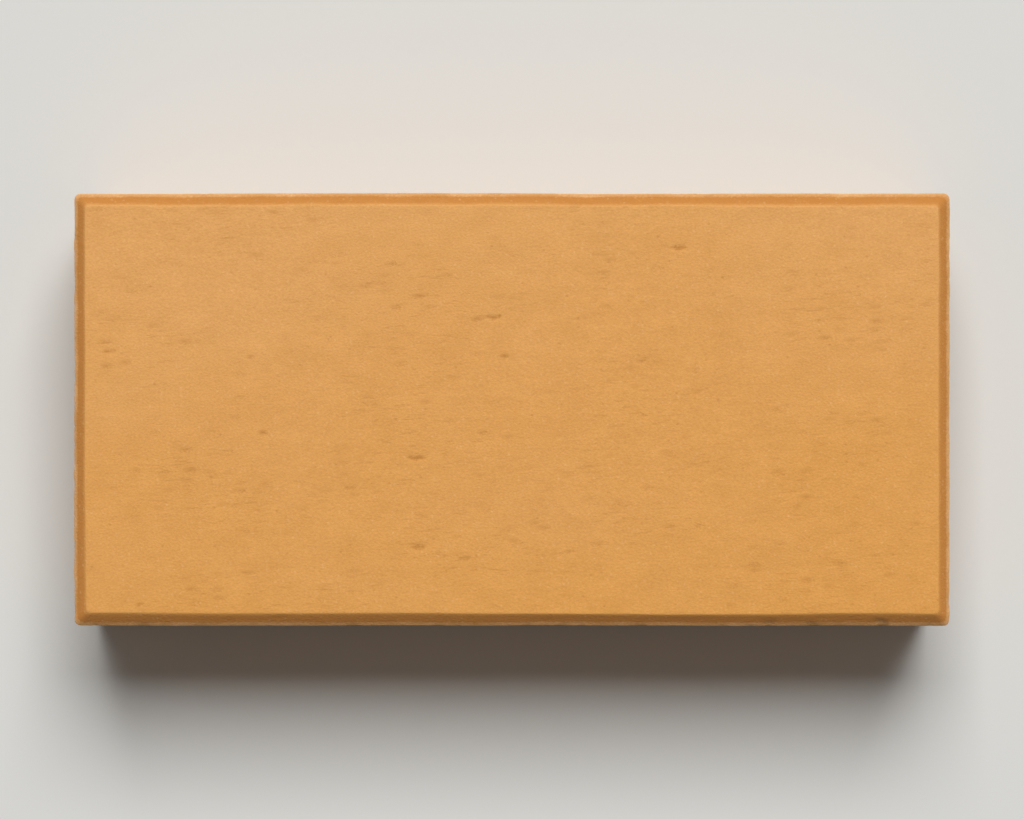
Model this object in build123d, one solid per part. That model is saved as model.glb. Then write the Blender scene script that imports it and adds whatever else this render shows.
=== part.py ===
"""Clay paving brick: one fired piece with a flat bed, square sides and bevelled top edges.

+X runs along the brick, +Y across it and +Z up, with the origin at the middle of the bed.
"""

import os

from build123d import *

# Driving dimensions, in millimetres.
LENGTH = 198.0  # two laying modules of 100 mm, less a 2 mm joint
WIDTH = 98.0  # one laying module, less the same joint
HEIGHT = 50.0  # bed to wearing face
BEVEL_RUN = 3.0  # width of the top bevel, seen from above
BEVEL_DROP = 3.0  # height of the top bevel, seen from the side
SIDE_CORNER_RADIUS = 1.5  # upright corners, seen from above
FACE_CORNER_RADIUS = 1.0  # corners of the wearing face, inside the bevel
ARRIS_RADIUS = 0.8  # roll where the bevel meets the wearing face and the sides
BED_EDGE_RADIUS = 0.8  # roll along the bottom edges

SHOULDER = HEIGHT - BEVEL_DROP  # level at which the sides end and the bevel begins


def side_outline():
    """Plan of the brick below the bevel."""
    return RectangleRounded(LENGTH, WIDTH, SIDE_CORNER_RADIUS)


def face_outline():
    """Plan of the wearing face, inside the bevel."""
    return RectangleRounded(LENGTH - 2 * BEVEL_RUN, WIDTH - 2 * BEVEL_RUN, FACE_CORNER_RADIUS)


def sharp_brick():
    """Square-sided body with the bevelled top on it, before the edges are rolled."""
    body = extrude(side_outline(), SHOULDER)
    bevelled_top = loft([Pos(0, 0, SHOULDER) * side_outline(), Pos(0, 0, HEIGHT) * face_outline()])
    return body + bevelled_top


def paving_brick():
    """The whole brick: the sharp one with its arrises and its bed edges rolled."""
    brick = sharp_brick()
    *_, shoulder_edges, face_edges = brick.edges().filter_by(Plane.XY).group_by(Axis.Z)
    brick = fillet(shoulder_edges + face_edges, ARRIS_RADIUS)
    bed = brick.faces().sort_by(Axis.Z)[0]
    return fillet(bed.edges(), BED_EDGE_RADIUS).solid()


os.makedirs("parts", exist_ok=True)
export_step(paving_brick(), "parts/paving_brick.step")
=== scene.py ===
"""Clay paving brick: the fired surface of the brick, the studio that it lies in and the camera above it.

Lengths are in metres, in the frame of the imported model: +X along the brick, +Y across it, +Z up.
"""

import math
from typing import NamedTuple

import bpy
import numpy as np
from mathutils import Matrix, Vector


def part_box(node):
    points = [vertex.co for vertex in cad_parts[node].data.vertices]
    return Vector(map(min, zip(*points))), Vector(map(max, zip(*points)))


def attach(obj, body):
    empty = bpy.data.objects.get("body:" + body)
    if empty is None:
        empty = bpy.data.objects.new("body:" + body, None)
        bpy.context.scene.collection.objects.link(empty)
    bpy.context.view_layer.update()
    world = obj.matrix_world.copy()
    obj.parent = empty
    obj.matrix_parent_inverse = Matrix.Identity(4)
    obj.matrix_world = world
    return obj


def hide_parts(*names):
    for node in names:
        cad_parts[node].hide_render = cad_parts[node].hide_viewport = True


bl_info = {
    "name": "Clay Paving Brick",
    "version": (1, 0, 0),
    "blender": (4, 5, 0),
    "location": "View3D > Sidebar > Paving Brick",
    "description": "Gives the packed paving brick its fired-clay surface and a studio to lie in",
    "category": "Object",
}

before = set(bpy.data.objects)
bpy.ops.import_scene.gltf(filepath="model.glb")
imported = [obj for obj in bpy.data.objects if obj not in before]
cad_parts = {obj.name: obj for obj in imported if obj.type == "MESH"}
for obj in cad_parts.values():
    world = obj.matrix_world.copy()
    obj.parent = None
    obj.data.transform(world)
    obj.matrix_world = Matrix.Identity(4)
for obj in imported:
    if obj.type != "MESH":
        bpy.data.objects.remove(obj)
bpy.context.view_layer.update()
BRICK_NODE = "paving_brick"
BRICK_LOW, BRICK_HIGH = (np.array(corner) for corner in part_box(BRICK_NODE))

MM = 0.001
RIGHT_ANGLE = math.pi / 2
ALONG = (1.0, 0.0, 0.0)  # the way that the clay left the die
UPRIGHT = (0.0, 0.0, 1.0)  # the way that the wire cut the ends
GRAIN_LEAN = math.radians(3)  # of the tears and lines in the clay, away from the brick's length


def linear(code):
    """Linear red, green and blue of an sRGB colour written as #rrggbb."""
    channels = np.array([int(code[i : i + 2], 16) for i in (1, 3, 5)]) / 255
    curve = np.where(channels <= 0.04045, channels / 12.92, ((channels + 0.055) / 1.055) ** 2.4)
    return tuple(float(channel) for channel in curve)


def length(name, description, millimetres):
    """A length that a user may change."""
    return bpy.props.FloatProperty(
        name=name, description=description, default=millimetres * MM, min=0.0, unit="LENGTH", precision=5
    )


def colour(name, description, code):
    """A colour that a user may change."""
    return bpy.props.FloatVectorProperty(
        name=name, description=description, default=linear(code), min=0.0, max=1.0, subtype="COLOR", size=3
    )


def amount(name, description, count):
    """A number of things that a user may change."""
    return bpy.props.IntProperty(name=name, description=description, default=count, min=0)


class BrickSizes(bpy.types.PropertyGroup):
    """Sizes of the brick's edges and of the marks on its clay."""

    bevel_run: length("Bevel Run", "Width of the top bevel, seen from above", 3.0)
    bevel_drop: length("Bevel Drop", "Height of the top bevel, seen from the side", 3.0)
    side_corner: length("Side Corner", "Radius of the upright corners, seen from above", 1.5)
    face_corner: length("Face Corner", "Radius of the wearing face's corners, inside the bevel", 1.0)
    arris_roll: length("Arris Roll", "Radius where the bevel meets the face and the sides", 0.8)
    bed_roll: length("Bed Roll", "Radius along the bottom edges", 0.8)
    pitch: length("Pitch", "Spacing of the surface's points on the wearing face", 0.55)
    skin: length("Skin", "How deep the mean surface lies below the largest the brick may be", 0.16)
    outline_wander: length("Outline Wander", "How far the sides stray inwards", 0.16)
    bevel_wander: length("Bevel Wander", "How far the bevel's inner line strays", 0.08)
    swell: length("Swell", "Height of the broad unevenness left by drying and firing", 0.06)
    drag: length("Drag", "Height of the lines that the die dragged along the clay", 0.007)
    pit_depth: length("Pit Depth", "Depth of the deepest pits", 0.3)
    tear_depth: length("Tear Depth", "Depth of the short shallow tears", 0.08)
    scar_depth: length("Scar Depth", "Depth of the long faint scars along the wearing face", 0.05)
    chip_depth: length("Chip Depth", "Depth of the deepest chips in the arrises", 0.5)
    face_pits: amount("Face Pits", "Number of pits in the wearing face", 14)
    face_tears: amount("Face Tears", "Number of short tears in the wearing face", 120)
    face_scars: amount("Face Scars", "Number of long scars in the wearing face", 7)
    side_pits: amount("Side Pits", "Number of pits in the sides and ends", 70)
    side_tears: amount("Side Tears", "Number of shallow tears and wire marks in the sides and ends", 150)
    bed_pits: amount("Bed Pits", "Number of pits in the bed", 50)
    chips: amount("Chips", "Number of chips in the arrises", 18)


class ClayColours(bpy.types.PropertyGroup):
    """Colours of the fired clay, with the painted shade of the bevel and the hollows and the painted
    highlight of the lip.
    """

    pale: colour("Pale Clay", "Paler of the face's two tones", "#dda561")
    deep: colour("Deep Clay", "Deeper of the face's two tones", "#db9f52")
    # Painted shade: the bevel's browner, deeper colour is the shade and warm bounced light of a joint between
    # laid bricks, painted into the clay.
    bevel: colour("Bevel", "Pressed clay of the bevel, browner and deeper", "#c0803c")
    # Partly painted highlight: the pale lip is wear along the outer arris and also the highlight where that
    # arris catches the light, painted into the clay.
    lip_wear_and_highlight: colour("Lip", "Worn outer third of the bevel and fresh chips", "#dfb07a")
    # Fleck is the clay's own colour in iron flecks; in pores, scratches and the bottoms of pits and tears it
    # partly paints the shade inside them.
    fleck: colour("Fleck", "Iron flecks, pores, scratches and the bottoms of pits and tears", "#a8671d")
    sand: colour("Sand", "Pale grains of sand in the clay", "#eec48c")


class StudioSettings(bpy.types.PropertyGroup):
    """Light, floor and camera of the studio."""

    floor: colour("Floor", "Pale floor", "#d9d9d6")
    floor_size: length("Floor Size", "Side of the floor", 12000.0)
    key_distance: length("Key Distance", "From the brick to the key light", 3200.0)
    key_size: length("Key Size", "Side of the key light", 1800.0)
    key_height: bpy.props.FloatProperty(
        name="Key Height", description="Angle of the key light above the floor",
        default=math.radians(58), subtype="ANGLE",
    )
    key_turn: bpy.props.FloatProperty(
        name="Key Turn", description="Angle of the key light from behind the brick, towards its right end",
        default=math.radians(6), subtype="ANGLE",
    )
    key_power: bpy.props.FloatProperty(
        name="Key Power", description="Power of the key light", default=120.0, unit="POWER"
    )
    sky: bpy.props.FloatProperty(
        name="Sky", description="Strength of the even light from all round", default=0.13, subtype="FACTOR"
    )
    lens: bpy.props.FloatProperty(
        name="Lens", description="Focal length in millimetres", default=135.0, subtype="DISTANCE_CAMERA"
    )
    fill: bpy.props.FloatProperty(
        name="Fill", description="Share of the picture's width that the brick takes",
        default=0.86, subtype="FACTOR",
    )


class Waves(NamedTuple):
    """A kind of smooth random relief: its wavelengths, its seed, and how far each axis is drawn out."""

    shortest: float
    longest: float
    seed: int
    stretch: tuple = (1, 1, 1)


SWELL = Waves(28 * MM, 110 * MM, 21)  # broad unevenness of the whole brick
FINE_DRAG = Waves(1.5 * MM, 4.5 * MM, 22, (14, 1, 1))  # lines of the die in the face and the bevel
COARSE_DRAG = Waves(3 * MM, 9 * MM, 23, (14, 1, 1))  # lines of the die in the long sides and the bed
WIRE_CUT = Waves(3.5 * MM, 11 * MM, 24, (1, 1, 3))  # torn clay of the ends
NICKS = Waves(1.6 * MM, 5 * MM, 25)  # knocks along the arrises
FLOCK_SIZES = (14 * MM, 50 * MM)  # wavelengths of the flocks in which dents lie
EDGE_SIZES = (1.3 * MM, 4 * MM)  # wavelengths of the uneven edges of dents and chips
TOP_LINE, FOOT_LINE, BEVEL_LINE = 11, 12, 13  # seeds of the lines that stray round the brick
CHIPS_SEED, CHIP_EDGES_SEED = 31, 32

SIDE_DRAG, END_DRAG = 4, 8  # height of the lines in the sides and bed, and in the ends, against the face's
NICK_DEPTH = 0.07 * MM  # for each unit that the waves rise above their level
LEAST_DEPTH = 0.3  # of the smallest dents and chips, as a share of the largest ones' depth
STAIN_AND_SHADE_DEPTH = 0.15 * MM  # at which a dent has 63 per cent of its full stain and painted shade
ZONE_BLEND = 0.8 * MM  # to either side of an arris, where one zone of the clay turns into the next
INNER_BEVEL_SHADE = 0.75  # share of the bevel's painted shade along its inner line
CHIP_FRESHNESS = 0.8  # most that a chip shows of the lip's colour, of worn clay with a painted highlight


def ease(low, high, values):
    """Smooth step from 0 at low to 1 at high: 3t^2 - 2t^3, with t the clamped share of the way."""
    t = np.clip((values - low) / (high - low), 0.0, 1.0)
    return t * t * (3.0 - 2.0 * t)


def hump(middle, width, values):
    """Bell curve: exp(-((value - middle) / width)^2)."""
    return np.exp(-(((values - middle) / width) ** 2))


def clay_waves(points, waves, count=48):
    """Smooth random relief of unit variance.

    A sum of plane waves cos(k.p + phase), with directions drawn evenly over the sphere, wavelengths
    drawn evenly on a log scale between the shortest and the longest, and each axis drawn out.
    """
    rng = np.random.default_rng(waves.seed)
    heading = rng.normal(size=(count, 3))
    heading /= np.linalg.norm(heading, axis=1, keepdims=True)
    wavelength = waves.shortest * (waves.longest / waves.shortest) ** rng.random(count)
    wave = 2 * np.pi * heading / wavelength[:, None] / np.array(waves.stretch)
    phase = rng.uniform(0, 2 * np.pi, count)
    return np.cos(points @ wave.T + phase).sum(axis=1) * math.sqrt(2 / count)


def wander(columns, seed, slowest=2, fastest=40):
    """Irregular line round the brick, of unit variance: a sum of cosines of whole numbers of turns.

    Faster turns are weaker, as 1 / number of turns, and each has a random phase.
    """
    rng = np.random.default_rng(seed)
    turns = np.arange(slowest, fastest)
    weight = 1 / turns
    phase = rng.uniform(0, 2 * np.pi, len(turns))
    angle = np.arange(columns)[:, None] * (2 * np.pi / columns)
    return (weight * np.cos(turns * angle + phase)).sum(axis=1) * math.sqrt(2 / (weight**2).sum())


def section_walk(runs):
    """Steps and headings of a section made of straight runs and tangent arcs.

    A run is (length, heading at its start, heading at its end, number of steps). Where the headings
    differ, it is an arc of that length, and its steps are the chords of the arc.
    """
    steps, headings = [], []
    for run_length, start, end, count in runs:
        turn = (end - start) / count
        chord = run_length / count
        if turn:
            chord = 2 * run_length / (end - start) * math.sin(turn / 2)
        steps.append(np.full(count, chord))
        headings.append(start + (np.arange(count) + 0.5) * turn)
    return np.concatenate(steps), np.concatenate(headings)


def plan_side(half_along, half_across, corner, count):
    """One side of a rounded rectangle, from the middle of one corner to the middle of the next.

    Points evenly spaced along the side's length, on a straight line between two eighths of a circle.
    """
    sharpest = 1e-9  # stands in for the radius of a square corner
    straight = half_along - corner
    reach = straight + corner * np.pi / 4
    along = (np.arange(count) / count * 2 - 1) * reach
    flat = np.clip(along, -straight, straight)
    turn = (along - flat) / np.maximum(corner, sharpest)
    return flat + corner * np.sin(turn), -(half_across - corner) - corner * np.cos(turn)


def plan_ring(inset, corner, half, counts):
    """Rounded rectangle that lies inset within the brick's outline, seen from above, counter-clockwise.

    inset has a row for each ring and a column for each point, and corner a row for each ring. counts is
    the number of points along a long side and an end.
    """
    long_count, end_count = counts
    cuts = np.cumsum([long_count, end_count, long_count])
    front, right, back, left = np.split(inset, cuts, axis=1)
    front_x, front_y = plan_side(half[0] - front, half[1] - front, corner, long_count)
    right_x, right_y = plan_side(half[1] - right, half[0] - right, corner, end_count)
    back_x, back_y = plan_side(half[0] - back, half[1] - back, corner, long_count)
    left_x, left_y = plan_side(half[1] - left, half[0] - left, corner, end_count)
    return (
        np.concatenate([front_x, -right_y, -back_x, left_y], axis=1),
        np.concatenate([front_y, right_x, -back_y, -left_x], axis=1),
    )


def rim(grid):
    """The border of a grid of point numbers as one counter-clockwise loop."""
    return np.concatenate([grid[0, :-1], grid[:-1, -1], grid[-1, :0:-1], grid[:0:-1, 0]])


def quads(grid):
    """Four-sided faces of a grid of point numbers, facing up where its rows run towards +Y."""
    return np.stack([grid[:-1, :-1], grid[:-1, 1:], grid[1:, 1:], grid[1:, :-1]], axis=-1).reshape(-1, 4)


def band(rings):
    """Four-sided faces between closed rings of point numbers, listed from the top down."""
    ahead = np.roll(rings, -1, axis=1)
    return np.stack([rings[:-1], rings[1:], ahead[1:], ahead[:-1]], axis=-1).reshape(-1, 4)


def zip_strip(fine, coarse):
    """Triangles between a ring and a ring below it with half as many points."""
    first, middle, last = fine[0::2], fine[1::2], np.roll(fine[0::2], -1)
    ahead = np.roll(coarse, -1)
    return np.concatenate([
        np.stack([first, coarse, middle], axis=-1),
        np.stack([middle, coarse, ahead], axis=-1),
        np.stack([middle, ahead, last], axis=-1),
    ])


def face_grid(half_x, half_y, height, counts):
    """Flat grid of points centred on the brick at one height, in rows towards +Y."""
    along = np.linspace(-half_x, half_x, counts[0] + 1)
    across = np.linspace(-half_y, half_y, counts[1] + 1)
    x, y = np.meshgrid(along, across)
    return np.stack([x, y, np.full_like(x, height)], axis=-1).reshape(-1, 3)


class BrickSurface:
    """The brick's closed surface before its clay gets its marks.

    The wearing face and the bed are flat grids. Between them the section of the edge is carried round
    the brick's plan, in rings that have half as many points below the bevel and half again on the bed.
    """

    rim_inset = 5.5 * MM  # from the outline to the grids of the face and the bed
    fine_side = 1.5 * MM  # stretch of the side, under the bevel, that keeps the fine spacing
    side_step = 1.2 * MM  # spacing of the rings down the side
    bevel_strip = 1.4 * MM  # to either side of the bevel's inner line, how far the surface strays with it
    mean_stray, stray_spread = 0.5, 0.25  # of the outline, as shares of its wander

    def __init__(self, sizes):
        """Build the section, the points and the faces."""
        self.half = (BRICK_HIGH - BRICK_LOW)[:2] / 2
        self.height = BRICK_HIGH[2]
        self.inner = self.half - self.rim_inset
        # Fours, so that the rings' numbers of points can be halved twice.
        fine = np.array([4 * round(side / sizes.pitch / 2) for side in self.inner])
        self.counts = [fine, fine // 2, fine // 4]
        self.build_section(sizes)
        self.build_points(sizes)
        self.build_faces()

    def build_section(self, sizes):
        """Section from the face's rim over the bevel, down the side and under to the bed's rim."""
        slope = math.atan2(sizes.bevel_drop, sizes.bevel_run)
        face_trim = sizes.arris_roll * math.tan(slope / 2)
        side_trim = sizes.arris_roll * math.tan((RIGHT_ANGLE - slope) / 2)
        face_run = self.rim_inset - sizes.bevel_run - face_trim
        face_arc = sizes.arris_roll * slope
        bevel_run = math.hypot(sizes.bevel_run, sizes.bevel_drop) - face_trim - side_trim
        side_arc = sizes.arris_roll * (RIGHT_ANGLE - slope)
        side_run = self.height - sizes.bevel_drop - side_trim - self.fine_side - sizes.bed_roll
        bed_arc = sizes.bed_roll * RIGHT_ANGLE
        bed_run = self.rim_inset - sizes.bed_roll
        down, back = RIGHT_ANGLE, math.pi
        # Each run has its length, its heading at the start and at the end, and its number of steps.
        fine = [
            (face_run, 0.0, 0.0, 4),
            (face_arc, 0.0, slope, 3),
            (bevel_run, slope, slope, 5),
            (side_arc, slope, down, 3),
            (self.fine_side, down, down, 2),
        ]
        coarse = [
            (side_run, down, down, round(side_run / self.side_step)),
            (bed_arc, down, back, 4),
        ]
        bed = [(bed_run, back, back, 2)]
        steps, headings = section_walk(fine + coarse + bed)
        self.station = np.concatenate([[0.0], np.cumsum(steps)])
        self.inset = self.rim_inset - np.concatenate([[0.0], np.cumsum(steps * np.cos(headings))])
        self.level = self.height - np.concatenate([[0.0], np.cumsum(steps * np.sin(headings))])
        self.corner = self.corner_radii(sizes)
        ends = np.cumsum([1] + [sum(count for *_, count in part) for part in (fine, coarse, bed)])
        self.parts = [slice(ends[0], ends[1]), slice(ends[1], ends[2]), slice(ends[2], ends[3] - 1)]
        self.face_arris = face_run + face_arc / 2
        self.side_arris = face_run + face_arc + bevel_run + side_arc / 2
        self.bed_arris = self.station[-1] - bed_run - bed_arc / 2

    def corner_radii(self, sizes):
        """Radius of the plan's corners at each ring, from the sides' own down to nothing at the rims."""
        top = np.interp(
            self.inset, [0, sizes.bevel_run, self.rim_inset], [sizes.side_corner, sizes.face_corner, 0]
        )
        bottom = np.interp(
            self.inset, [0, sizes.bed_roll, self.rim_inset],
            [sizes.side_corner, sizes.side_corner - sizes.bed_roll, 0],
        )
        return np.where(self.level > self.height / 2, top, bottom)

    def rings(self, sizes, part, counts):
        """Points of the rings in one part of the section, round the plan of the brick.

        The insets stray: the bevel's inner line to both sides, the outline only inwards.
        """
        columns = 2 * sum(counts)
        station, level = self.station[part], self.level[part]
        on_brick = ease(0.0, self.face_arris, station) * (1 - ease(self.bed_arris, self.station[-1], station))
        lower = np.clip(1 - level / self.height, 0.0, 1.0)[:, None]
        stray = (1 - lower) * wander(columns, TOP_LINE) + lower * wander(columns, FOOT_LINE)
        outline = sizes.outline_wander * np.clip(self.mean_stray + self.stray_spread * stray, 0.0, 1.0)
        near_bevel = hump(self.face_arris, self.bevel_strip, station)[:, None]
        bevel = sizes.bevel_wander * near_bevel * wander(columns, BEVEL_LINE)
        inset = self.inset[part][:, None] + on_brick[:, None] * outline + bevel
        x, y = plan_ring(inset, self.corner[part][:, None], self.half, counts)
        return np.stack([x, y, np.broadcast_to(level[:, None], x.shape)], axis=-1).reshape(-1, 3)

    def build_points(self, sizes):
        """All points, with the station of each along the section."""
        parts = [face_grid(*self.inner, self.height, self.counts[0])]
        stations = [np.zeros(len(parts[0]))]
        for part, counts in zip(self.parts, self.counts):
            parts.append(self.rings(sizes, part, counts))
            stations.append(np.repeat(self.station[part], 2 * sum(counts)))
        parts.append(face_grid(*self.inner, 0.0, self.counts[-1]))
        stations.append(np.full(len(parts[-1]), self.station[-1]))
        self.starts = np.cumsum([0] + [len(part) for part in parts])
        self.points = np.concatenate(parts)
        self.stations = np.concatenate(stations)

    def build_faces(self):
        """Faces of the grids, of the bands between the rings and of the strips that join the bands."""
        numbers = [np.arange(low, high) for low, high in zip(self.starts[:-1], self.starts[1:])]
        face = numbers[0].reshape(self.counts[0][1] + 1, -1)
        bed = numbers[-1].reshape(self.counts[-1][1] + 1, -1)
        bands = [part.reshape(-1, 2 * sum(counts)) for part, counts in zip(numbers[1:-1], self.counts)]
        bands[0] = np.vstack([rim(face), bands[0]])
        bands[-1] = np.vstack([bands[-1], rim(bed)])
        self.quads = np.concatenate([quads(face), *(band(rings) for rings in bands), quads(bed)[:, ::-1]])
        self.triangles = np.concatenate(
            [zip_strip(above[-1], below[0]) for above, below in zip(bands[:-1], bands[1:])]
        )


def new_mesh(name, points, quad_faces, triangle_faces):
    """A smooth mesh of four-sided and three-sided faces."""
    mesh = bpy.data.meshes.new(name)
    corners = np.concatenate([quad_faces.ravel(), triangle_faces.ravel()])
    starts = np.concatenate([
        np.arange(len(quad_faces)) * 4,
        quad_faces.size + np.arange(len(triangle_faces)) * 3,
    ])
    mesh.vertices.add(len(points))
    mesh.vertices.foreach_set("co", points.astype(np.float32).ravel())
    mesh.loops.add(len(corners))
    mesh.loops.foreach_set("vertex_index", corners.astype(np.int32))
    mesh.polygons.add(len(starts))
    mesh.polygons.foreach_set("loop_start", starts.astype(np.int32))
    mesh.polygons.foreach_set("use_smooth", np.ones(len(starts), dtype=bool))
    mesh.update(calc_edges=True)
    return mesh


def outward(mesh):
    """The outward direction at each point of a mesh."""
    normals = np.empty(len(mesh.vertices) * 3, dtype=np.float32)
    mesh.vertex_normals.foreach_get("vector", normals)
    return normals.reshape(-1, 3).astype(float)


class ClayZones:
    """Share of each zone of the clay at each point: face, bevel, long sides, ends and bed.

    The station along the section gives the zone, with a smooth step across each arris. The sides are
    shared between the ends and the long sides by the square of the outward direction's part along X.
    """

    def __init__(self, surface, normals):
        """Work out the shares of all the zones."""
        below_face, below_bevel, self.bed = (
            ease(arris - ZONE_BLEND, arris + ZONE_BLEND, surface.stations)
            for arris in (surface.face_arris, surface.side_arris, surface.bed_arris)
        )
        self.face = 1 - below_face
        self.bevel = below_face * (1 - below_bevel)
        side = below_bevel * (1 - self.bed)
        self.end = side * normals[:, 0] ** 2
        self.long_side = side - self.end


def die_lines(points, zones, height):
    """Lines of the die along the brick, coarser in its sides and bed, and torn clay in its ends.

    Smooth waves drawn out along the brick, or upright in the ends, each in its own zones.
    """
    return height * (
        (zones.face + zones.bevel) * clay_waves(points, FINE_DRAG)
        + SIDE_DRAG * (zones.long_side + zones.bed) * clay_waves(points, COARSE_DRAG)
        + END_DRAG * zones.end * clay_waves(points, WIRE_CUT)
    )


def arris_nicks(surface):
    """Depth of the small knocks along the arrises: what smooth waves rise above a level, next to an arris."""
    level, most = 0.4, 2.5
    # Each arris has its station, how far its nicks reach, and how strong they are.
    near = sum(
        strength * hump(arris, reach, surface.stations)
        for arris, reach, strength in (
            (surface.face_arris, 0.5 * MM, 0.4),
            (surface.side_arris, 0.6 * MM, 1.0),
            (surface.bed_arris, 0.9 * MM, 1.0),
        )
    )
    return NICK_DEPTH * near * np.clip(clay_waves(surface.points, NICKS) - level, 0.0, most)


def ragged(points, reach, seed):
    """Points moved about by smooth random waves, so that what is drawn round them has an uneven edge."""
    waves = [clay_waves(points, Waves(*EDGE_SIZES, seed + axis)) for axis in range(3)]
    return points + reach * np.stack(waves, axis=-1)


def dents(points, places, ways, half_lengths, half_widths, depths):
    """Depth of a scatter of bowl-shaped dents at each point.

    Each dent is depth * exp(-r^3), with r^2 = (u / half length)^2 + (v / half width)^2, u the distance from
    its middle along its long way and v the distance from that line. The deepest dent at a point counts.
    """
    total = np.zeros(len(points))
    for place, way, half_length, half_width, depth in zip(places, ways, half_lengths, half_widths, depths):
        offset = points - place
        along = offset @ way
        across = (offset**2).sum(axis=1) - along**2
        spread = (along / half_length) ** 2 + across / half_width**2
        total = np.maximum(total, depth * np.exp(-(spread**1.5)))
    return total


class DentKind(NamedTuple):
    """A kind of dent in the clay. Half lengths and widths are the least and the greatest, in millimetres."""

    zone: np.ndarray  # whether it may lie at each point
    count: int
    way: tuple  # along which it is drawn out
    half_lengths: tuple
    half_widths: tuple
    depth: float  # of the deepest
    stain_and_shade: float  # share of the stain and painted shade where it is deepest
    seed: int


def dent_kinds(surface, normals, zones, sizes):
    """The kinds of dent: pits, short tears and long scars, each in its zone."""
    rim_gap = 1.2 * MM  # from the face's arris to the nearest dents in the face
    most_of_side, most_of_zone = 0.95, 0.9  # least shares of a zone where its dents may lie
    square_on = 0.95  # least part of the outward direction that points straight off the side
    face = surface.stations < surface.face_arris - rim_gap
    long_side = (zones.long_side > most_of_side) & (np.abs(normals[:, 1]) > square_on)
    end = (zones.end > most_of_zone) & (np.abs(normals[:, 0]) > square_on)
    bed = zones.bed > most_of_zone
    pit, tear, scar = sizes.pit_depth, sizes.tear_depth, sizes.scar_depth
    side_pits, side_tears, end_tears = sizes.side_pits // 2, sizes.side_tears * 2 // 3, sizes.side_tears // 3
    return (
        DentKind(face, sizes.face_pits, ALONG, (1.2, 2.3), (0.5, 0.8), pit, 1.0, 41),
        DentKind(face, sizes.face_tears, ALONG, (1.0, 2.6), (0.45, 0.65), tear, 1.0, 51),
        DentKind(face, sizes.face_scars, ALONG, (7.0, 17.0), (0.45, 0.6), scar, 0.5, 61),
        DentKind(long_side, side_pits, ALONG, (1.0, 2.0), (0.9, 1.2), pit, 0.4, 71),
        DentKind(end, side_pits, UPRIGHT, (1.0, 2.0), (0.9, 1.3), pit, 0.4, 81),
        DentKind(long_side, side_tears, ALONG, (2.5, 9.0), (0.9, 1.1), tear, 0.3, 91),
        DentKind(end, end_tears, UPRIGHT, (4.0, 14.0), (0.9, 1.2), tear, 0.3, 101),
        DentKind(bed, sizes.bed_pits, ALONG, (2.5, 5.0), (2.2, 3.2), pit, 0.3, 111),
    )


def scatter_dents(surface, normals, kind):
    """Depth of one kind of dent at each point: loose flocks, drawn out along the way that the clay moved.

    Sizes are squares of even draws, so most dents are small and shallow.
    """
    flocking = 1.5  # how strongly they gather
    lean_spread = math.radians(5)
    narrowest, shallowest = 0.5, 0.6  # shares of a dent's width and depth that chance may leave
    edge_share = 0.3  # unevenness of the edges, as a share of the least half width
    rng = np.random.default_rng(kind.seed)
    flock = kind.zone * np.exp(flocking * clay_waves(surface.points, Waves(*FLOCK_SIZES, kind.seed)))
    chosen = rng.choice(len(flock), kind.count, replace=False, p=flock / flock.sum())
    lean = rng.normal(GRAIN_LEAN, lean_spread, kind.count)[:, None]
    ways = np.cos(lean) * np.array(kind.way) + np.sin(lean) * np.cross(normals[chosen], kind.way)
    ways /= np.linalg.norm(ways, axis=1, keepdims=True)
    size = rng.random(kind.count) ** 2
    lengths = np.interp(size, [0, 1], kind.half_lengths) * MM
    widths = np.interp(size * rng.uniform(narrowest, 1.0, kind.count), [0, 1], kind.half_widths) * MM
    depths = kind.depth * (LEAST_DEPTH + (1 - LEAST_DEPTH) * size) * rng.uniform(shallowest, 1.0, kind.count)
    uneven = ragged(surface.points, edge_share * kind.half_widths[0] * MM, kind.seed)
    return dents(uneven, surface.points[chosen], ways, lengths, widths, depths)


def scatter_chips(surface, normals, sizes):
    """Depth of the chips along the outer arris and the bed's arris at each point: rough round scoops.

    Sizes are cubes of even draws, so most chips are small.
    """
    arris_strip, bed_strip = 0.4 * MM, 0.5 * MM  # to either side of an arris, where a chip's middle may lie
    least_reach, added_reach = 0.6, 1.4  # of the smallest chips, and added in the largest, in millimetres
    roundness = 0.7  # half width as a share of half length
    edge_reach = 0.25 * MM
    rng = np.random.default_rng(CHIPS_SEED)
    on_arris = np.abs(surface.stations - surface.side_arris) < arris_strip
    on_bed_arris = np.abs(surface.stations - surface.bed_arris) < bed_strip
    chosen = np.concatenate([
        rng.choice(np.flatnonzero(on_arris), sizes.chips - sizes.chips // 2, replace=False),
        rng.choice(np.flatnonzero(on_bed_arris), sizes.chips // 2, replace=False),
    ])
    size = rng.random(sizes.chips) ** 3
    reach = (least_reach + added_reach * size) * MM
    depth = sizes.chip_depth * (LEAST_DEPTH + (1 - LEAST_DEPTH) * size)
    ways = np.cross(normals[chosen], rng.normal(size=(sizes.chips, 3)))
    ways /= np.linalg.norm(ways, axis=1, keepdims=True)
    uneven = ragged(surface.points, edge_reach, CHIP_EDGES_SEED)
    return dents(uneven, surface.points[chosen], ways, reach, reach * roundness, depth)


def lip_wear_and_highlight_share(surface):
    """Share of worn clay and of a painted highlight along the outer arris: it grows over the bevel's outer
    third and ends just past the outer arris.
    """
    begins, full, fades, ends = -1.8 * MM, -0.7 * MM, -0.1 * MM, 0.5 * MM
    past_arris = surface.stations - surface.side_arris
    return ease(begins, full, past_arris) * (1 - ease(fades, ends, past_arris))


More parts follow.
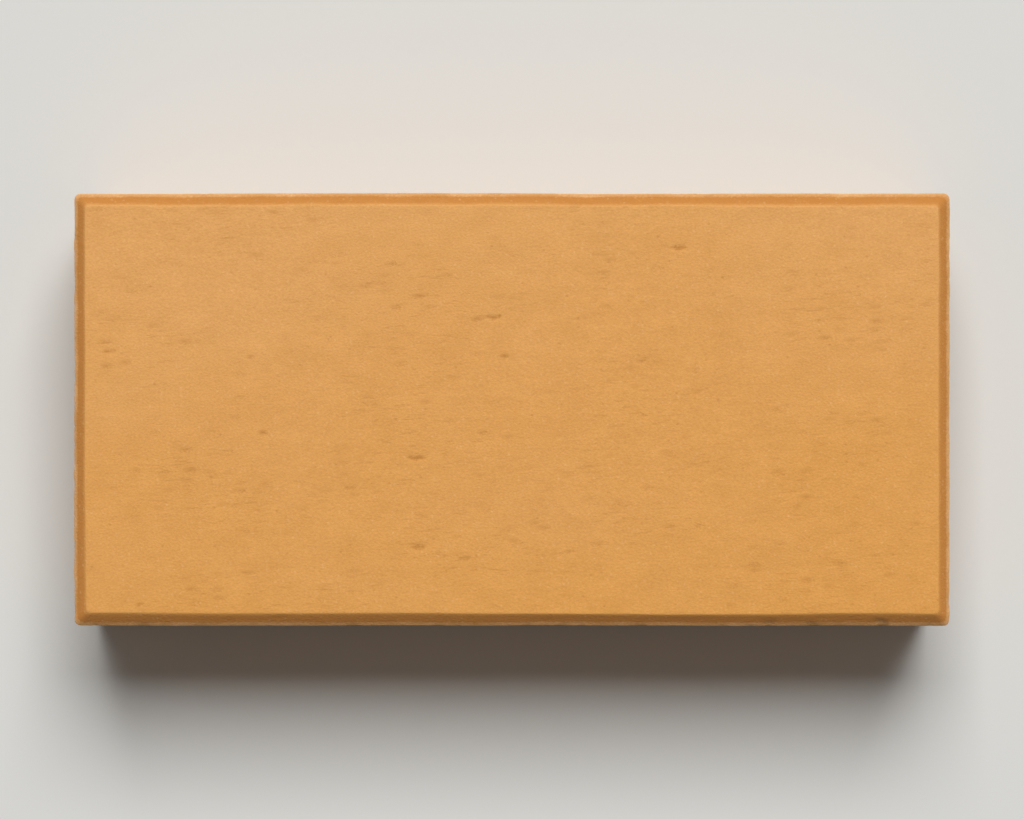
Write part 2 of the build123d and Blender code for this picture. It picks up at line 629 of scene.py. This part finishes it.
def clay_marks(surface, normals, sizes):
    """Height of the clay at each point, nowhere above the plain surface, and the shares of the clay's tints
    there, of which the bevel's and the hollows' hold painted shade and the lip's a painted highlight.

    The swell and the lines lie about the skin's depth and are cut off at the plain surface. Nicks, the
    deepest dent and the deepest chip are taken off below that.
    """
    zones = ClayZones(surface, normals)
    swell = sizes.swell * clay_waves(surface.points, SWELL)
    lines = die_lines(surface.points, zones, sizes.drag)
    nicks = arris_nicks(surface)
    hollows, stain_and_shade = np.zeros((2, len(surface.points)))
    for kind in dent_kinds(surface, normals, zones, sizes):
        depth = scatter_dents(surface, normals, kind)
        hollows = np.maximum(hollows, depth)
        # Deeper dents get darker: partly a stain, partly painted shade in the hollow.
        stain_and_shade = np.maximum(stain_and_shade, kind.stain_and_shade * (1 - np.exp(-depth / STAIN_AND_SHADE_DEPTH)))
    chips = scatter_chips(surface, normals, sizes)
    relief = np.minimum(swell + lines - sizes.skin, 0.0) - nicks - hollows - chips
    # The bevel's painted shade deepens from its inner line to the outer arris; the lip is partly painted
    # highlight, the hollow partly painted shade.
    bevel_shade = np.interp(surface.stations, [surface.face_arris, surface.side_arris], [INNER_BEVEL_SHADE, 1.0])
    shares = {
        "bevel": zones.bevel * bevel_shade,
        "lip_wear_and_highlight": np.maximum(lip_wear_and_highlight_share(surface), np.clip(chips / sizes.chip_depth, 0.0, CHIP_FRESHNESS)),
        "hollow": stain_and_shade,
    }
    return relief, shares


def add_node(tree, kind, inputs=None, **settings):
    """Add a node with its settings. inputs maps a socket to a value or to the output that feeds it."""
    node = tree.nodes.new(kind)
    for name, value in settings.items():
        setattr(node, name, value)
    for socket, value in (inputs or {}).items():
        if isinstance(value, bpy.types.NodeSocket):
            tree.links.new(value, node.inputs[socket])
        else:
            node.inputs[socket].default_value = value
    return node


MIX_FACTOR, MIX_FIRST, MIX_SECOND, MIX_RESULT = 0, 6, 7, 2  # sockets of a colour mix


def drawn_out(place, size, stretch):
    """Settings that measure a place in a pattern's size, in millimetres, and draw it out along the clay."""
    scale = (size * MM * stretch, size * MM, size * MM)
    return {"Vector": place, "Rotation": (0, 0, GRAIN_LEAN), "Scale": scale}


def clay_patterns(tree, place):
    """Levels from 0 to 1 of the patterns in the clay: noise, with its middle half spread over that range."""
    levels = {}
    # Each has its size in millimetres, how far it is drawn out along the clay, and its detail.
    for name, size, stretch, detail in (
        ("cloud", 55.0, 1.5, 2.0),  # kiln clouds
        ("patch", 24.0, 1.6, 2.0),  # where the die dragged more and less
        ("mottle", 5.5, 1.6, 3.0),  # uneven mixing of the clay
        ("scratch", 0.9, 4.5, 2.0),  # scratches, drawn coarser than the finest real ones
        ("grit", 0.45, 1.2, 3.0),  # sand that the fire bound
    ):
        spread = add_node(tree, "ShaderNodeMapping", drawn_out(place, size, stretch), vector_type="TEXTURE")
        noise = add_node(
            tree, "ShaderNodeTexNoise",
            {"Vector": spread.outputs[0], "Scale": 1.0, "Detail": detail, "Roughness": 0.6},
        )
        levels[name] = add_node(
            tree, "ShaderNodeMapRange", {"Value": noise.outputs["Fac"], "From Min": 0.25, "From Max": 0.75}
        ).outputs[0]
    return levels


def clay_cells(tree, place, grit, gathered):
    """Strengths of the spots scattered in the clay: some of a Voronoi pattern's cells have one.

    The grit shifts the place, so that the spots have rough edges.
    """
    shift = (0.4 * MM, -0.3 * MM, 0.3 * MM)
    rough_place = add_node(
        tree, "ShaderNodeVectorMath", {0: grit, 1: shift, 2: place}, operation="MULTIPLY_ADD"
    ).outputs[0]
    plain_middle = 0.15  # share of a spot's radius within which it is at its full strength
    cells = {}
    # Each has its spacing in millimetres, how far it is drawn out along the clay, the radius of the spot
    # as a share of the spacing, the share of cells that have a spot, and how strong they get.
    for name, size, stretch, radius, share, most in (
        ("sand", 0.9, 1.0, 0.4, 0.4, 1.0),  # grains of sand
        ("pore", 1.8, 1.3, 0.2, 0.5, 1.0),  # pinholes
        ("tear", 2.4, 2.5, 0.36, 0.9, gathered),  # shallow tears where the die dragged the clay
        ("fleck", 7.0, 2.0, 0.1, 0.35, 1.0),  # iron flecks
    ):
        spread = add_node(
            tree, "ShaderNodeMapping", drawn_out(rough_place, size, stretch), vector_type="TEXTURE"
        )
        cell = add_node(tree, "ShaderNodeTexVoronoi", {"Vector": spread.outputs[0], "Scale": 1.0})
        lot = add_node(tree, "ShaderNodeSeparateColor", {"Color": cell.outputs["Color"]}).outputs[0]
        strength = add_node(
            tree, "ShaderNodeMapRange", {"Value": lot, "From Min": 1 - share, "To Min": 0.0, "To Max": most},
            interpolation_type="SMOOTHERSTEP",
        ).outputs[0]
        cells[name] = add_node(
            tree, "ShaderNodeMapRange",
            {"Value": cell.outputs["Distance"], "From Min": radius * plain_middle, "From Max": radius,
             "To Min": strength, "To Max": 0.0},
        ).outputs[0]
    return cells


def mesh_shares(tree, levels):
    """Shares of the kinds of clay that the mesh carries, with uneven edges.

    Patterns add to each share, each as far as its reach, and the sum is cut off below and above.
    """
    shares = {}
    # The bevel share carries painted shade, the lip share partly a painted highlight and the hollow share
    # partly painted shade.
    for name, reaches, low, high in (
        ("bevel", {"grit": 0.3, "mottle": 0.2}, 0.65, 1.1),
        ("lip_wear_and_highlight", {"grit": 0.3, "mottle": 0.5}, 0.8, 1.6),
        ("hollow", {"grit": 0.7}, 0.7, 1.1),
    ):
        share = add_node(tree, "ShaderNodeAttribute", attribute_name=name).outputs["Fac"]
        for pattern, reach in reaches.items():
            share = add_node(
                tree, "ShaderNodeMath", {0: levels[pattern], 1: reach, 2: share}, operation="MULTIPLY_ADD"
            ).outputs[0]
        shares[name] = add_node(
            tree, "ShaderNodeMapRange", {"Value": share, "From Min": low, "From Max": high}
        ).outputs[0]
    return shares


def tint_marks(tree, place, levels):
    """Strengths of all the marks that tint the clay: spots, scratches and what the mesh carries.

    Tears and scratches gather where the die dragged more, and are about a seventh as strong elsewhere.
    """
    gathered = add_node(
        tree, "ShaderNodeMapRange",
        {"Value": levels["patch"], "From Min": 0.25, "From Max": 0.75, "To Min": 0.15, "To Max": 1.0},
    ).outputs[0]
    scratch = add_node(
        tree, "ShaderNodeMapRange",
        {"Value": levels["scratch"], "From Min": 0.62, "From Max": 0.95, "To Max": gathered},
    ).outputs[0]
    cells = clay_cells(tree, place, levels["grit"], gathered)
    return {"scratch": scratch, **cells, **mesh_shares(tree, levels)}


def plain_clay(tree, place, cloud, colours):
    """Colour of the unmarked clay: paler at the back left and deeper at the front right, which paints the
    fall of the key light from behind the brick, and varied in clouds.
    """
    slope = (1.2, -8.0, 0.0)  # painted light: change of the tone in a metre along the brick and across it, paler towards the key at the back
    cloud_share = 0.6
    painted_light_tilt = add_node(
        tree, "ShaderNodeVectorMath", {0: place, 1: slope}, operation="DOT_PRODUCT"
    ).outputs["Value"]
    tone = add_node(
        tree, "ShaderNodeMath", {0: cloud, 1: cloud_share, 2: painted_light_tilt}, operation="MULTIPLY_ADD"
    ).outputs[0]
    tone = add_node(tree, "ShaderNodeMapRange", {"Value": tone, "From Min": -0.2, "From Max": 0.8}).outputs[0]
    return add_node(
        tree, "ShaderNodeMix",
        {MIX_FACTOR: tone, MIX_FIRST: (*colours.pale, 1), MIX_SECOND: (*colours.deep, 1)},
        data_type="RGBA",
    ).outputs[MIX_RESULT]


def tinted_clay(tree, clay, marks, colours):
    """Colour of the clay with its marks on it, each mixed in as far as its greatest share."""
    # Painted light among the marks: the bevel's brown is painted shade of a joint, the lip is wear and a
    # painted highlight of the outer arris, and the fleck colour in tears, scratches, pores and hollows is
    # partly painted shade.
    for mark, most, tint in (
        ("bevel", 1.0, colours.bevel),
        ("lip_wear_and_highlight", 0.8, colours.lip_wear_and_highlight),
        ("sand", 0.3, colours.sand),
        ("tear", 0.32, colours.fleck),
        ("scratch", 0.17, colours.fleck),
        ("pore", 0.35, colours.fleck),
        ("fleck", 0.5, colours.fleck),
        ("hollow", 0.55, colours.fleck),
    ):
        share = add_node(tree, "ShaderNodeMath", {0: marks[mark], 1: most}, operation="MULTIPLY").outputs[0]
        clay = add_node(
            tree, "ShaderNodeMix",
            {MIX_FACTOR: share, MIX_FIRST: clay, MIX_SECOND: (*tint, 1)},
            data_type="RGBA",
        ).outputs[MIX_RESULT]
    return clay


def grained_clay(tree, clay, levels):
    """Colour of the clay with its mottle and grit, as a factor that is 1 on average.

    Darker clay is also redder: green falls further than red there, and blue furthest.
    """
    deepening = np.array([1.0, 1.3, 2.0])
    mottle_contrast, grit_contrast = 0.08, 0.16
    shade = add_node(
        tree, "ShaderNodeMath", {0: levels["mottle"], 1: mottle_contrast / grit_contrast, 2: levels["grit"]},
        operation="MULTIPLY_ADD",
    ).outputs[0]
    shade = add_node(
        tree, "ShaderNodeVectorMath",
        {0: shade, 1: grit_contrast * deepening, 2: 1 - (mottle_contrast + grit_contrast) / 2 * deepening},
        operation="MULTIPLY_ADD",
    ).outputs[0]
    return add_node(tree, "ShaderNodeVectorMath", {0: clay, 1: shade}, operation="MULTIPLY").outputs[0]


def clay_bump(tree, grit, marks):
    """Outward direction over the finest relief: grit that stands up, and marks that lie deeper than it."""
    grain_height = 0.08 * MM
    height = grit
    for mark, depth in (("tear", -0.9), ("scratch", -0.5), ("hollow", -0.6)):
        height = add_node(
            tree, "ShaderNodeMath", {0: marks[mark], 1: depth, 2: height}, operation="MULTIPLY_ADD"
        ).outputs[0]
    return add_node(
        tree, "ShaderNodeBump", {"Height": height, "Strength": 1.0, "Distance": grain_height}
    ).outputs[0]


def fired_clay(colours):
    """Fired clay, extruded and pressed: dry, matt and close-grained.

    The eye gets a dull surface with hardly any shine, a fine sandy grain, short tears along the way the clay
    left the die, a slow change from paler to deeper clay across the face that paints the fall of the key
    light, pores and iron flecks. The bevel's brown is painted shade of a joint, the pale lip is partly a
    painted highlight, and the dark in hollows is partly painted shade.
    """
    material = bpy.data.materials.new("Fired clay, extruded and pressed")
    material.use_nodes = True
    tree = material.node_tree
    tree.nodes.clear()
    place = add_node(tree, "ShaderNodeTexCoord").outputs["Object"]
    levels = clay_patterns(tree, place)
    marks = tint_marks(tree, place, levels)
    clay = plain_clay(tree, place, levels["cloud"], colours)
    clay = tinted_clay(tree, clay, marks, colours)
    clay = grained_clay(tree, clay, levels)
    roughness = add_node(
        tree, "ShaderNodeMapRange", {"Value": levels["grit"], "To Min": 0.8, "To Max": 0.95}
    ).outputs[0]
    # Dust and pores take most of the shine, so the specular level is half the usual.
    shader = add_node(
        tree, "ShaderNodeBsdfPrincipled",
        {"Base Color": clay, "Roughness": roughness, "IOR": 1.5, "Specular IOR Level": 0.25,
         "Normal": clay_bump(tree, levels["grit"], marks), "Diffuse Roughness": 0.4},
    )
    add_node(tree, "ShaderNodeOutputMaterial", {"Surface": shader.outputs[0]})
    return material


def studio_paper(tint):
    """Studio paper, uncoated: matt pulp.

    The eye gets an even pale ground without shine, on which the brick's shadow stays soft.
    """
    material = bpy.data.materials.new("Studio paper, uncoated")
    material.use_nodes = True
    tree = material.node_tree
    tree.nodes.clear()
    shader = add_node(tree, "ShaderNodeBsdfDiffuse", {"Color": (*tint, 1), "Roughness": 0.5})
    add_node(tree, "ShaderNodeOutputMaterial", {"Surface": shader.outputs[0]})
    return material


class PAVER_OT_fire_brick(bpy.types.Operator):
    """Make the brick's fired surface, with its bevel, pits, lines and chips, in place of the plain solid"""

    bl_idname = "paver.fire_brick"
    bl_label = "Fire Brick"

    def execute(self, context):
        """Build the plain surface, sink the marks into it and give it its clay."""
        sizes = context.scene.paver_sizes
        surface = BrickSurface(sizes)
        mesh = new_mesh("fired_brick", surface.points, surface.quads, surface.triangles)
        normals = outward(mesh)
        relief, shares = clay_marks(surface, normals, sizes)
        points = surface.points + normals * relief[:, None]
        mesh.vertices.foreach_set("co", points.astype(np.float32).ravel())
        for name, values in shares.items():
            layer = mesh.attributes.new(name, "FLOAT", "POINT")
            layer.data.foreach_set("value", values.astype(np.float32))
        mesh.update()
        mesh.materials.append(fired_clay(context.scene.paver_colours))
        brick = bpy.data.objects.new("fired_brick", mesh)
        context.scene.collection.objects.link(brick)
        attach(brick, "root")
        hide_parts(BRICK_NODE)
        return {"FINISHED"}


class PAVER_OT_set_studio(bpy.types.Operator):
    """Lay the pale floor, hang the key light and the even sky, and set the camera straight above the brick"""

    bl_idname = "paver.set_studio"
    bl_label = "Set Studio"

    def execute(self, context):
        """Set up the floor, the lights and the camera."""
        studio = context.scene.paver_studio
        self.lay_floor(context, studio)
        self.hang_key(context, studio)
        self.light_sky(context, studio)
        self.set_camera(context, studio)
        context.scene.view_settings.view_transform = "Standard"
        return {"FINISHED"}

    def lay_floor(self, context, studio):
        """One square of studio paper, at the level of the brick's bed."""
        half = studio.floor_size / 2
        corners = face_grid(half, half, 0.0, (1, 1))
        mesh = new_mesh("studio_floor", corners, np.array([[0, 1, 3, 2]]), np.empty((0, 3), int))
        mesh.materials.append(studio_paper(studio.floor))
        floor = bpy.data.objects.new("studio_floor", mesh)
        context.scene.collection.objects.link(floor)

    def hang_key(self, context, studio):
        """A large soft lamp behind the brick and above it, which faces the middle of the wearing face."""
        lamp = bpy.data.lights.new("key", "AREA")
        lamp.energy = studio.key_power
        lamp.size = studio.key_size
        key = bpy.data.objects.new("key", lamp)
        away = Vector((
            math.cos(studio.key_height) * math.sin(studio.key_turn),
            math.cos(studio.key_height) * math.cos(studio.key_turn),
            math.sin(studio.key_height),
        ))
        key.location = Vector((0.0, 0.0, BRICK_HIGH[2])) + away * studio.key_distance
        key.rotation_euler = away.to_track_quat("Z", "Y").to_euler()
        context.scene.collection.objects.link(key)

    def light_sky(self, context, studio):
        """Even white light from all round, which the camera itself sees as white."""
        world = bpy.data.worlds.new("studio_sky")
        world.use_nodes = True
        tree = world.node_tree
        tree.nodes.clear()
        ray = add_node(tree, "ShaderNodeLightPath").outputs["Is Camera Ray"]
        strength = add_node(
            tree, "ShaderNodeMapRange", {"Value": ray, "To Min": studio.sky, "To Max": 1.0}
        ).outputs[0]
        sky = add_node(tree, "ShaderNodeBackground", {"Color": (1, 1, 1, 1), "Strength": strength})
        add_node(tree, "ShaderNodeOutputWorld", {"Surface": sky.outputs[0]})
        context.scene.world = world

    def set_camera(self, context, studio):
        """A long lens that looks straight down, from where the brick takes its share of the picture."""
        lens = bpy.data.cameras.new("above")
        lens.lens = studio.lens
        camera = bpy.data.objects.new("above", lens)
        width = (BRICK_HIGH - BRICK_LOW)[0] / studio.fill
        distance = width * studio.lens / lens.sensor_width
        camera.location = (0.0, 0.0, BRICK_HIGH[2] + distance)
        context.scene.collection.objects.link(camera)
        context.scene.camera = camera


class PAVER_PT_sidebar(bpy.types.Panel):
    """Sizes, colours and studio of the paving brick"""

    bl_idname = "PAVER_PT_sidebar"
    bl_label = "Paving Brick"
    bl_space_type = "VIEW_3D"
    bl_region_type = "UI"
    bl_category = "Paving Brick"

    def draw(self, context):
        """List each group's settings, with the button of the operator that uses them."""
        for label, group, operator in (
            ("Brick", context.scene.paver_sizes, PAVER_OT_fire_brick),
            ("Clay", context.scene.paver_colours, None),
            ("Studio", context.scene.paver_studio, PAVER_OT_set_studio),
        ):
            box = self.layout.box()
            box.label(text=label)
            for name in group.bl_rna.properties.keys():
                if name not in {"rna_type", "name"}:
                    box.prop(group, name)
            if operator:
                box.operator(operator.bl_idname)


CLASSES = (
    BrickSizes, ClayColours, StudioSettings, PAVER_OT_fire_brick, PAVER_OT_set_studio, PAVER_PT_sidebar
)


def register():
    """Register the classes and give each scene its settings."""
    for one in CLASSES:
        bpy.utils.register_class(one)
    bpy.types.Scene.paver_sizes = bpy.props.PointerProperty(type=BrickSizes)
    bpy.types.Scene.paver_colours = bpy.props.PointerProperty(type=ClayColours)
    bpy.types.Scene.paver_studio = bpy.props.PointerProperty(type=StudioSettings)


def unregister():
    """Take the settings off the scenes and unregister the classes."""
    del bpy.types.Scene.paver_studio
    del bpy.types.Scene.paver_colours
    del bpy.types.Scene.paver_sizes
    for one in reversed(CLASSES):
        bpy.utils.unregister_class(one)


def main():
    """Make the brick and its studio."""
    register()
    bpy.ops.paver.fire_brick()
    bpy.ops.paver.set_studio()


if __name__ == "__main__":
    main()
